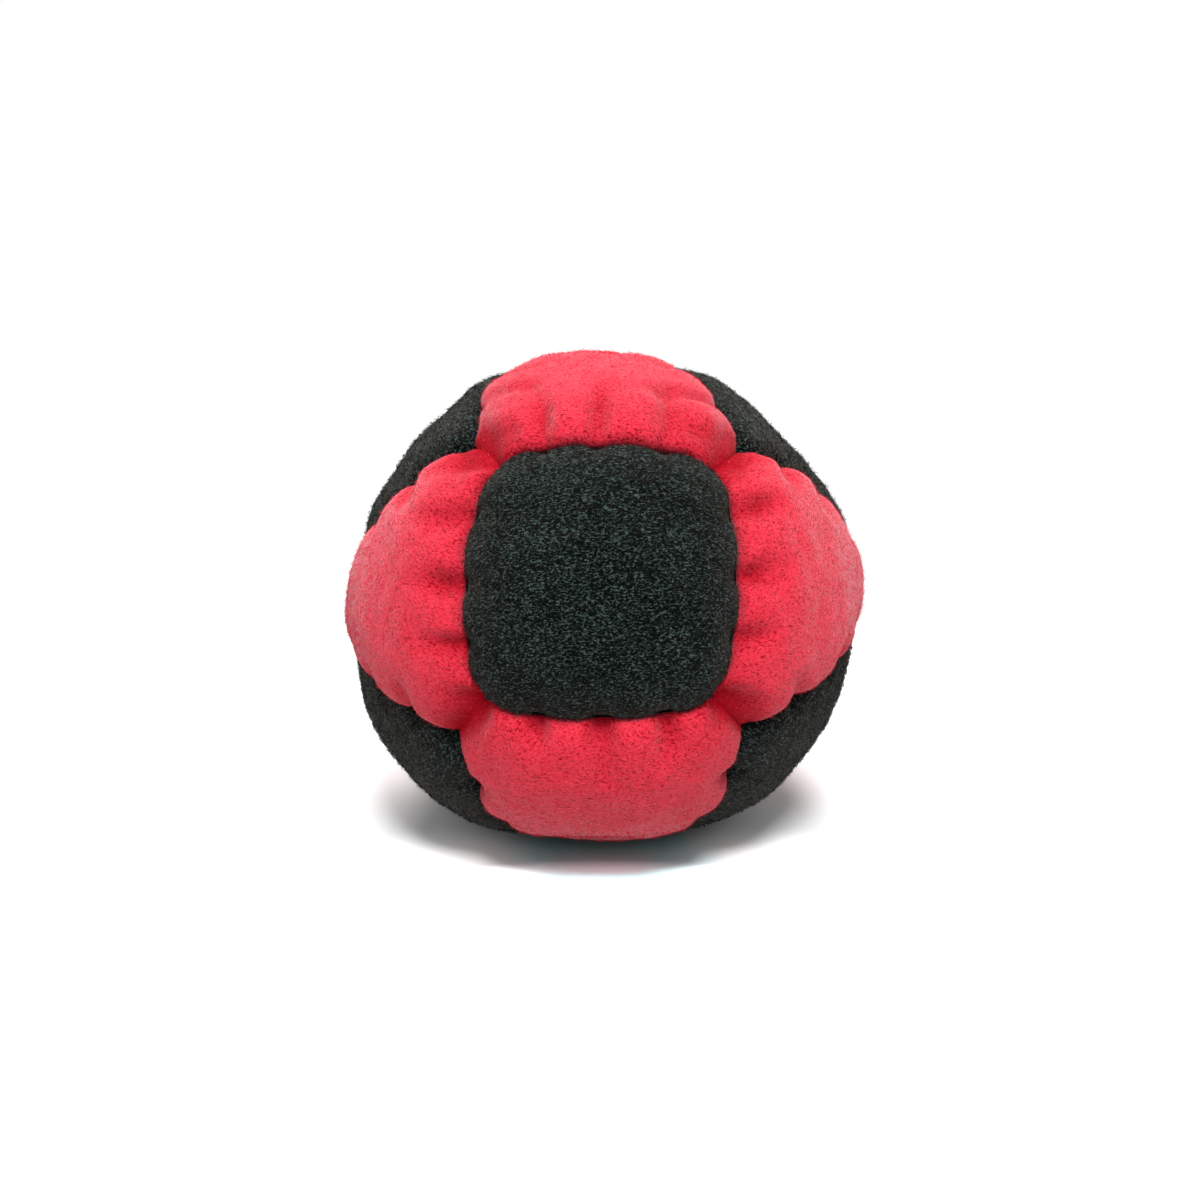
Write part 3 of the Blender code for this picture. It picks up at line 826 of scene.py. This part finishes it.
def nap_tree():
    """A geometry node tree that grows fibres on a surface."""
    tree = bpy.data.node_groups.new("nap", "GeometryNodeTree")
    face = tree.interface
    face.new_socket("Geometry", in_out="INPUT", socket_type="NodeSocketGeometry")
    for name, value in FIBRE["dark"].items():
        face.new_socket(name, in_out="INPUT", socket_type="NodeSocketFloat").default_value = value
    face.new_socket("Seed", in_out="INPUT", socket_type="NodeSocketInt").default_value = FIBRE_SEED
    face.new_socket("Material", in_out="INPUT", socket_type="NodeSocketMaterial")
    face.new_socket("Geometry", in_out="OUTPUT", socket_type="NodeSocketGeometry")
    given = tree.nodes.new("NodeGroupInput").outputs

    def add(kind, inputs=None, **settings):
        """The first output of a new node."""
        return add_node(tree, kind, inputs, **settings).outputs[0]

    def vector(**axes):
        """A vector whose axes are sockets or left at nought."""
        return add("ShaderNodeCombineXYZ", axes)

    def drawn(low, high, seed):
        """A random number for each fibre."""
        inputs = {"Min": low, "Max": high, "Seed": seed}
        return add_node(tree, "FunctionNodeRandomValue", inputs, data_type="FLOAT").outputs[1]

    root, bend, tip, aside = (
        calculated(tree, "MULTIPLY", given["Length"], share)
        for share in (ROOT_DEPTH, BEND_HEIGHT, TIP_HEIGHT, TIP_ASIDE)
    )
    ends = {"Start": vector(Z=root), "Middle": vector(Z=bend), "End": vector(X=aside, Z=tip)}
    bow = add("GeometryNodeCurveQuadraticBezier", {"Resolution": 2, **ends})
    along = add("GeometryNodeSplineParameter")
    taper = add("ShaderNodeMapRange", {"Value": along, "To Min": 1.0, "To Max": TIP_WIDTH})
    thin = add("GeometryNodeSetCurveRadius", {"Curve": bow, "Radius": taper})
    radius = calculated(tree, "MULTIPLY", given["Width"], 0.5)
    section = {"Resolution": FIBRE_SIDES, "Radius": radius}
    section = add("GeometryNodeCurvePrimitiveCircle", section, mode="RADIUS")
    fibre = {"Curve": thin, "Profile Curve": section, "Fill Caps": True}
    fibre = add("GeometryNodeCurveToMesh", fibre)

    crushed = {"Name": "crushed"}
    crushed = add_node(tree, "GeometryNodeInputNamedAttribute", crushed, data_type="FLOAT")
    left = calculated(tree, "MULTIPLY_ADD", crushed.outputs["Attribute"], -CRUSHED_LOSS, 1.0)
    density = calculated(tree, "MULTIPLY", given["Density"], PER_SQUARE_MM)
    density = calculated(tree, "MULTIPLY", density, left)
    scatter = {"Mesh": given["Geometry"], "Density": density, "Seed": given["Seed"]}
    scatter = add_node(tree, "GeometryNodeDistributePointsOnFaces", scatter, distribute_method="RANDOM")
    turned = scatter.outputs["Rotation"]
    lean = calculated(tree, "MULTIPLY", drawn(*LEAN_RANGE, seed=2), given["Lean"])
    for angles in (vector(Z=drawn(-math.pi, math.pi, seed=1)), vector(Y=lean)):
        step = add("FunctionNodeEulerToRotation", {0: angles})
        turned = add("FunctionNodeRotateRotation", {0: turned, 1: step}, rotation_space="LOCAL")
    fibres = {"Points": scatter.outputs["Points"], "Instance": fibre, "Rotation": turned}
    fibres = add("GeometryNodeInstanceOnPoints", {**fibres, "Scale": drawn(*SIZE_RANGE, seed=4)})
    fibres = {"Geometry": fibres, "Name": "tone", "Value": drawn(0.0, 1.0, seed=5)}
    fibres = add("GeometryNodeStoreNamedAttribute", fibres, data_type="FLOAT", domain="INSTANCE")
    fibres = add("GeometryNodeRealizeInstances", {0: fibres})
    fibres = add("GeometryNodeSetMaterial", {"Geometry": fibres, "Material": given["Material"]})
    tree.links.new(fibres, tree.nodes.new("NodeGroupOutput").inputs[0])
    return tree

# %% [markdown]
# The face of brushed suede isn't even. The nap parts in fine slits, half a millimetre long, which lie along
# the grain of the cloth. They look dark, because little light comes out of them, and the ridges between
# them look light. Noise makes that pattern, with its coordinates in each panel's own frame and stretched
# across the grain. Where a hand has brushed the nap there are wide faint patches. The fibres catch light
# that grazes the surface, which is what sheen stands for, and it washes out the red at the top and round
# the outline. In a gather and in the corner valleys the nap is pressed flat, with more slits and less
# sheen, and the cloth there is painted darker towards the slit colour: painted shade.

# %% Suede
GRAIN = 1 / (0.29 * MM)
FINE_GRAIN = 1 / (0.13 * MM)
BRUSHED_PATCH = 1 / (7 * MM)
NOISE_ROUGHNESS = 0.6
FINE_WEIGHT = 0.35
PATCH_WEIGHT = 0.07
# The next two darken the gathers and corner valleys, as painted shade: the pattern is shifted towards the
# slits and the slit colour is mixed in.
CRUSHED_SLITS_AND_SHADE = 0.09
GATHER_PAINTED_SHADE = 0.85
SUEDE = {
    "dark": {
        "stops": (
            (0.71, (0.0001, 0.001, 0.001)), (0.765, (0.003, 0.012, 0.011)), (0.835, (0.074, 0.113, 0.105)),
        ),
        "depth": 0.30 * MM, "sheen": (1.0, 0.76, 0.66), "sheen_weight": 0.16, "gloss": 0.02,
    },
    "red": {
        "stops": ((0.54, (0.34, 0.001, 0.008)), (0.66, (0.82, 0.030, 0.060)), (0.89, (0.92, 0.052, 0.092))),
        "depth": 0.16 * MM, "sheen": (1.0, 0.90, 0.95), "sheen_weight": 0.55, "gloss": 0.03,
    },
}
FIBRE_STOPS = {
    "dark": ((0.0, (0.001, 0.003, 0.003)), (0.55, (0.006, 0.014, 0.013)), (1.0, (0.10, 0.125, 0.12))),
    "red": ((0.0, (0.70, 0.020, 0.050)), (0.55, (0.80, 0.040, 0.080)), (1.0, (0.90, 0.11, 0.16))),
}


def new_material(name):
    """A material, its node tree and its empty principled shader."""
    material = bpy.data.materials.new(name)
    material.use_nodes = True
    return material, material.node_tree, material.node_tree.nodes["Principled BSDF"]


def noise(tree, place, scale, detail, distortion=0.0):
    """A noise texture on the place."""
    inputs = {"Vector": place, "Scale": scale, "Detail": detail, "Roughness": NOISE_ROUGHNESS}
    return add_node(tree, "ShaderNodeTexNoise", {**inputs, "Distortion": distortion}).outputs["Fac"]


def ramp(tree, value, stops):
    """A colour from pairs of place and colour."""
    node = add_node(tree, "ShaderNodeValToRGB", {"Fac": value})
    elements = node.color_ramp.elements
    for index, (place, colour) in enumerate(stops):
        element = elements[index] if index < 2 else elements.new(place)
        element.position = place
        element.color = (*colour, 1)
    return node.outputs["Color"]


def bumped(tree, height, strength, depth, invert=False):
    """A normal that a height has tilted."""
    inputs = {"Height": height, "Strength": strength, "Distance": depth}
    return add_node(tree, "ShaderNodeBump", inputs, invert=invert).outputs[0]


def suede_material(kind):
    """The base cloth under the fibres."""
    look = SUEDE[kind]
    material, tree, shader = new_material(f"{kind}_suede_cloth")
    place = add_node(tree, "ShaderNodeAttribute", attribute_name="nap_place").outputs["Vector"]
    crushed = add_node(tree, "ShaderNodeAttribute", attribute_name="crushed").outputs["Fac"]
    pattern = noise(tree, place, GRAIN, detail=2, distortion=0.5)
    for value, weight in (
        (noise(tree, place, FINE_GRAIN, detail=2), FINE_WEIGHT),
        (noise(tree, place, BRUSHED_PATCH, detail=3), PATCH_WEIGHT),
        (crushed, -CRUSHED_SLITS_AND_SHADE),
    ):
        pattern = calculated(tree, "MULTIPLY_ADD", value, weight, pattern)
    slit = look["stops"][0][1]
    # Painted shade: the slit colour is mixed in where the gathers and corner valleys lie.
    shade = calculated(tree, "MULTIPLY", crushed, GATHER_PAINTED_SHADE)
    colour = {"Factor": shade, "A": ramp(tree, pattern, look["stops"]), "B": (*slit, 1)}
    colour = add_node(tree, "ShaderNodeMix", colour, data_type="RGBA").outputs["Result"]
    sheen = look["sheen_weight"]
    fill_inputs(tree, shader, {
        "Base Color": colour,
        "Normal": bumped(tree, pattern, strength=1.0, depth=look["depth"]),
        "Roughness": 0.8,
        "Specular IOR Level": look["gloss"],
        "Sheen Weight": calculated(tree, "MULTIPLY_ADD", crushed, -sheen, sheen),
        "Sheen Roughness": 0.4,
        "Sheen Tint": (*look["sheen"], 1),
    })
    return material


def fibre_material(kind):
    """The fibres of the nap, each in a tone of its own."""
    material, tree, shader = new_material(f"{kind}_suede_fibres")
    tone = add_node(tree, "ShaderNodeAttribute", attribute_name="tone").outputs["Fac"]
    colour = ramp(tree, tone, FIBRE_STOPS[kind])
    fill_inputs(tree, shader, {"Base Color": colour, "Roughness": 0.7, "Specular IOR Level": 0.03})
    return material


suedes = {kind: suede_material(kind) for kind in SUEDE}
fibre_finishes = {kind: fibre_material(kind) for kind in SUEDE}
print("suede materials:", [material.name for material in suedes.values()])

# %% [markdown]
# The tree is run on a copy of each panel's outer face, and what it grows is turned into a plain mesh.
# The bag lies on its underside, so fibres there are crushed flat on the ground.

# %% Grow the nap on every panel
GROUND_CLEARANCE = 0.01 * MM
tree = nap_tree()
sockets = {item.name: item.identifier for item in tree.interface.items_tree if item.in_out == "INPUT"}


def grow_nap(panel, number):
    """The fibres of one panel as a plain mesh object."""
    outer, triangles, crushed = faces_outside[panel.name]
    ground = add_object("nap_ground", mesh_from("nap_ground", outer, triangles))
    store_values(ground.data, "crushed", "FLOAT", crushed)
    modifier = ground.modifiers.new("nap", "NODES")
    modifier.node_group = tree
    rest = {"Seed": FIBRE_SEED + number, "Material": fibre_finishes[panel.kind]}
    for name, value in {**FIBRE[panel.kind], **rest}.items():
        modifier[sockets[name]] = value
    graph = bpy.context.evaluated_depsgraph_get()
    mesh = bpy.data.meshes.new_from_object(ground.evaluated_get(graph), depsgraph=graph)
    ground.modifiers.clear()
    bpy.data.objects.remove(ground)
    co = np.empty(len(mesh.vertices) * 3, np.float32)
    mesh.vertices.foreach_get("co", co)
    co[2::3] = np.maximum(co[2::3], GROUND_CLEARANCE)
    mesh.vertices.foreach_set("co", co)
    mesh.shade_smooth()
    mesh.name = f"{panel.name}_nap"
    return add_object(mesh.name, mesh)


naps = {panel.name: grow_nap(panel, number) for number, panel in enumerate(panels)}
print("nap triangles:", sum(len(nap.data.loops) - 2 * len(nap.data.polygons) for nap in naps.values()))

# %% [markdown]
# Now the pieces are tied to the imported bag. Each cloth panel stands for its imported solid, which is
# hidden, and gets its suede material, and the fibres ride with it. The threads and the sand keep their
# imported solids, because those are hidden inside, and get better materials.

# %% Tie the pieces to the imported bag
THREAD_GRAIN = 1 / (0.15 * MM)
THREAD_STOPS = ((0.3, (0.012, 0.012, 0.012)), (0.7, (0.04, 0.038, 0.036)))
SAND_GRAIN = 1 / (0.45 * MM)
SAND_STOPS = ((0.0, (0.20, 0.13, 0.07)), (0.5, (0.52, 0.41, 0.27)), (1.0, (0.78, 0.70, 0.55)))
for panel in panels:
    obj, nap = cloth[panel.name], naps[panel.name]
    obj.data.materials.append(suedes[panel.kind])
    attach(obj, "root")
    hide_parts(panel.name)
    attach(nap, "root")


def thread_material():
    """Waxed thread: dark, a little shiny, with its twist as a fine bump."""
    material, tree, shader = new_material("waxed_thread")
    place = add_node(tree, "ShaderNodeTexCoord").outputs["Object"]
    twist = noise(tree, place, THREAD_GRAIN, detail=2)
    fill_inputs(tree, shader, {
        "Base Color": ramp(tree, twist, THREAD_STOPS),
        "Normal": bumped(tree, twist, strength=0.5, depth=0.05 * MM),
        "Roughness": 0.45,
    })
    return material


def sand_material():
    """Dry sand: pale grains among darker ones, and a few white."""
    material, tree, shader = new_material("dry_sand")
    place = add_node(tree, "ShaderNodeTexCoord").outputs["Object"]
    grains = add_node(tree, "ShaderNodeTexVoronoi", {"Vector": place, "Scale": SAND_GRAIN}).outputs
    grey = add_node(tree, "ShaderNodeSeparateColor", {0: grains["Color"]}).outputs[0]
    fill_inputs(tree, shader, {
        "Base Color": ramp(tree, grey, SAND_STOPS),
        "Normal": bumped(tree, grains["Distance"], strength=0.9, depth=0.15 * MM, invert=True),
        "Roughness": 0.85,
    })
    return material


thread_finish, sand_finish = thread_material(), sand_material()
for name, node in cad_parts.items():
    if "thread" in name or name == "sand_fill":
        node.data.materials.clear()
        node.data.materials.append(thread_finish if "thread" in name else sand_finish)

# %% [markdown]
# The photograph was taken on a white ground in soft light from all round, stronger from above and in
# front. The short shadow before the bag and the longer ones beside it show that direction. A white
# world gives the soft light and one large lamp the direction, and a weak one behind the bag gives the
# nap at the top its pale haze. The camera sees the ground as pure white except in the bag's shadow.
# That comes from a ground whose colour is brighter for the camera alone, so that no more light than needed
# falls on the bag. The red cloth tints its own shadow, but the shadow in the photograph is neutral, so the
# ground near the bag is painted with the opposite tint. The ground also has a painted shadow under the bag,
# and painted light in front and at the sides that bleaches the real shadow there, as in the photograph.

# %% Ground and light
WORLD_LIGHT = 0.37
LAMPS = {
    "key": {"place": (0.025, -0.185, 0.335), "size": 0.17, "power": 1.3},
    "back": {"place": (-0.03, 0.16, 0.31), "size": 0.25, "power": 0.8},
}
GROUND_COLOUR = 0.6
GROUND_SEEN = 1.33
GROUND_REACH = 3.0
GROUND_LEVEL = -0.01 * MM
# Painted shade and light on the ground: a tint against the red bounce, a painted shadow under the bag, and
# painted light that bleaches the shadow in front and at the sides.
PAINTED_GROUND_LIGHT_AND_SHADE = {  # a colour, its place, and the distances between which it fades
    "painted tint against the red glow": ((0.5, 0.93, 0.93), (0, -13.5 * MM, 0), (5.5 * MM, 13 * MM)),
    "painted shadow where the bag rests": ((0.35, 0.35, 0.35), (0, 1.5 * MM, 0), (8.5 * MM, 15 * MM)),
    "painted light in front": ((3, 3, 3), (0, -60 * MM, 0), (44 * MM, 47.1 * MM)),
    "painted light at the left": ((1.6, 1.6, 1.6), (-15 * MM, -16 * MM, 0), (4 * MM, 12 * MM)),
    "painted light at the right": ((1.6, 1.6, 1.6), (15 * MM, -16 * MM, 0), (4 * MM, 12 * MM)),
}
WHITE_REACH = (50 * MM, 90 * MM)


def seen_directly(tree):
    """1 for rays from the camera, a mirror or glass, and 0 for light that lights the bag."""
    path = add_node(tree, "ShaderNodeLightPath").outputs
    seen = calculated(tree, "MAXIMUM", path["Is Camera Ray"], path["Is Glossy Ray"])
    return calculated(tree, "MAXIMUM", seen, path["Is Transmission Ray"])


def mixed(tree, share, first, second):
    """Two shaders in one, with that share of the second."""
    return add_node(tree, "ShaderNodeMixShader", {0: share, 1: first, 2: second}).outputs[0]


def make_world():
    """A world of soft white light, which is pure white where it is seen directly."""
    world = bpy.data.worlds.new("studio")
    world.use_nodes = True
    tree = world.node_tree
    lit = tree.nodes["Background"]
    fill_inputs(tree, lit, {"Color": WHITE, "Strength": WORLD_LIGHT})
    seen = add_node(tree, "ShaderNodeBackground", {"Color": WHITE, "Strength": 1}).outputs[0]
    surface = mixed(tree, seen_directly(tree), lit.outputs[0], seen)
    tree.links.new(surface, tree.nodes["World Output"].inputs["Surface"])
    bpy.context.scene.world = world


def away_from(tree, place, middle, reach):
    """0 near a point of the ground and 1 away from it, smoothly between the two distances in reach."""
    inputs = {0: place, 1: middle}
    distance = add_node(tree, "ShaderNodeVectorMath", inputs, operation="DISTANCE").outputs["Value"]
    inputs = {"Value": distance, "From Min": reach[0], "From Max": reach[1]}
    away = add_node(tree, "ShaderNodeMapRange", inputs, interpolation_type="SMOOTHSTEP")
    return away.outputs["Result"]


def make_ground():
    """The ground, brighter where it is seen directly and there painted with shadow, light and a tint near
    the bag, and pure white far away.
    """
    material, tree, shader = new_material("white_ground")
    tree.nodes.remove(shader)
    place = add_node(tree, "ShaderNodeTexCoord").outputs["Object"]
    shade = (GROUND_SEEN,) * 3
    for colour, middle, reach in PAINTED_GROUND_LIGHT_AND_SHADE.values():
        inputs = {"Factor": away_from(tree, place, middle, reach), "A": (*colour, 1), "B": WHITE}
        tint = add_node(tree, "ShaderNodeMix", inputs, data_type="RGBA").outputs["Result"]
        inputs = {0: tint, 1: shade}
        shade = add_node(tree, "ShaderNodeVectorMath", inputs, operation="MULTIPLY").outputs[0]
    lit = (GROUND_COLOUR, GROUND_COLOUR, GROUND_COLOUR, 1)
    plain = add_node(tree, "ShaderNodeBsdfDiffuse", {"Color": lit}).outputs[0]
    bright = add_node(tree, "ShaderNodeBsdfDiffuse", {"Color": shade}).outputs[0]
    white = add_node(tree, "ShaderNodeEmission", {"Color": WHITE}).outputs[0]
    far = mixed(tree, away_from(tree, place, (0, 0, 0), WHITE_REACH), bright, white)
    surface = mixed(tree, seen_directly(tree), plain, far)
    tree.links.new(surface, tree.nodes["Material Output"].inputs["Surface"])
    x, z = GROUND_REACH, GROUND_LEVEL
    mesh = mesh_from("ground", [(-x, -x, z), (x, -x, z), (x, x, z), (-x, x, z)], [(0, 1, 2, 3)])
    mesh.materials.append(material)
    ground = add_object("ground", mesh)


def add_lamp(name, place, size, power):
    """A round lamp that shines on the bag's middle."""
    data = bpy.data.lights.new(name, "AREA")
    data.shape = "DISK"
    data.size = size
    data.energy = power
    lamp = add_object(name, data)
    lamp.location = place
    back = Vector(place) - Vector((0, 0, MIDDLE_HEIGHT))
    lamp.rotation_euler = back.to_track_quat("Z", "Y").to_euler()


make_world()
make_ground()
for name, lamp in LAMPS.items():
    add_lamp(name, **lamp)
bpy.context.scene.view_settings.view_transform = "Standard"
